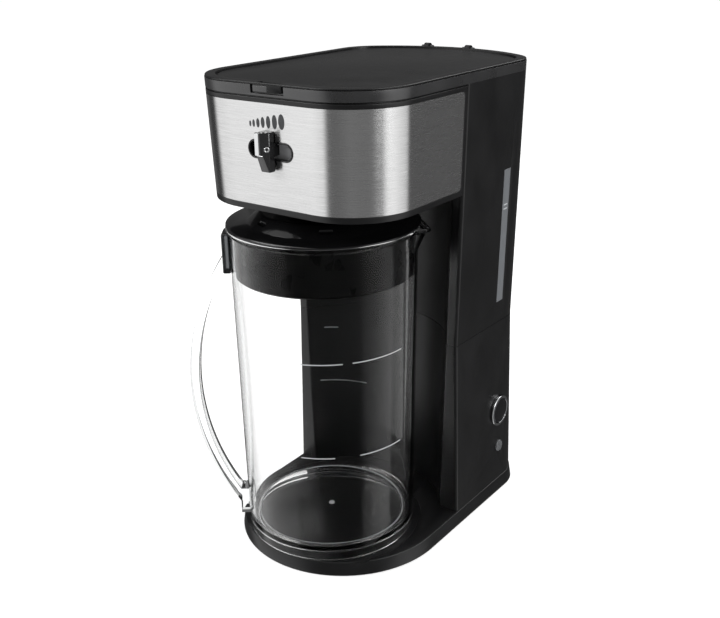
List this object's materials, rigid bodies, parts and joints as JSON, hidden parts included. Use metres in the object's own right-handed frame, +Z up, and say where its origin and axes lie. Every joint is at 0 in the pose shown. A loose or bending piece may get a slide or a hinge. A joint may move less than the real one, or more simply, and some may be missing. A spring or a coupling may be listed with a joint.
{
  "type": "iced tea maker",
  "caption": "Countertop iced tea maker: tall column with water tank, overhanging steel-wrapped head, lift-up lid, strength lever and a clear handled jug on a D-shaped base.",
  "frame": {"origin": "on the table under the middle of the base, below the centre of the overall box", "axes": "+Z up, +X to the right of someone facing the front, -Y towards that person (the jug stands at -Y, the column at +Y)"},
  "size_m": [0.157, 0.2358, 0.333],
  "materials": {
    "casing_black": "satin",
    "lid_black": "fine satin grain",
    "jug_lid_black": "satin gloss",
    "brushed_steel": "horizontal brushing",
    "clear_plastic": "clear polished",
    "window_clear": "frosted",
    "chrome": "polished",
    "button_gloss": "polished",
    "lens_clear": "clear",
    "rubber_black": "matt",
    "silicone_hose": "translucent matt",
    "aluminium": "cast",
    "zinc_steel": "zinc plated",
    "white_nylon": "satin",
    "filter_mesh": "fine mesh",
    "wire_insulation": "soft gloss",
    "tank_smoke": "satin translucent"
  },
  "bodies": {
    "machine": {"base_tray": "casing_black", "base_cover": "casing_black", "rubber_feet": "rubber_black", "base_screws": "zinc_steel", "lower_housing": "casing_black", "upper_housing": "casing_black", "head_shell": "casing_black", "steel_panel": "brushed_steel", "slot_bezel": "lid_black", "top_frame": "casing_black", "fill_deck": "casing_black", "hinge_pins": "zinc_steel", "water_reservoir": "tank_smoke", "water_window": "window_clear", "outlet_seal": "silicone_hose", "supply_hose": "silicone_hose", "check_valve": "white_nylon", "valve_hose": "silicone_hose", "heater_casting": "aluminium", "heater_tube": "aluminium", "riser_hose": "silicone_hose", "spray_head": "lid_black", "thermostats": "zinc_steel", "thermostat_clip": "zinc_steel", "button_bezel": "chrome", "switch_module": "white_nylon", "indicator_lens": "lens_clear", "indicator_lamp": "lens_clear", "cord_gland": "rubber_black", "terminal_block": "white_nylon", "power_wires": "wire_insulation"},
    "lid": {"reservoir_lid": "lid_black"},
    "lever": {"strength_lever": "lid_black", "flow_shutter": "lid_black"},
    "button": {"power_button": "button_gloss"},
    "jug": {"jug_body": "clear_plastic", "jug_handle": "clear_plastic", "brew_basket": "jug_lid_black", "filter_cup": "filter_mesh"},
    "jug_lid": {"jug_lid": "jug_lid_black"}
  },
  "joints": [
    {"name": "lid_hinge", "type": "hinge", "parent": "machine", "child": "lid", "pos_m": [0, 0.1137, 0.3296], "axis": [-1, 0, 0], "range_deg": [0, 95]},
    {"name": "strength_slide", "type": "slide", "parent": "machine", "child": "lever", "axis": [1, 0, 0], "range_m": [-0.0105, 0.0105]},
    {"name": "power_push", "type": "slide", "parent": "machine", "child": "button", "axis": [-1, 0, 0], "range_m": [0, 0.002], "stiffness_N_per_m": 600, "springref_m": -0.001},
    {"name": "jug_slide", "type": "slide", "parent": "machine", "child": "jug", "axis": [0, -1, 0], "range_m": [0, 0.2]},
    {"name": "jug_lid_turn", "type": "hinge", "parent": "jug", "child": "jug_lid", "pos_m": [0, -0.0535, 0.236], "axis": [0, 0, 1], "range_deg": [-60, 60]}
  ]
}
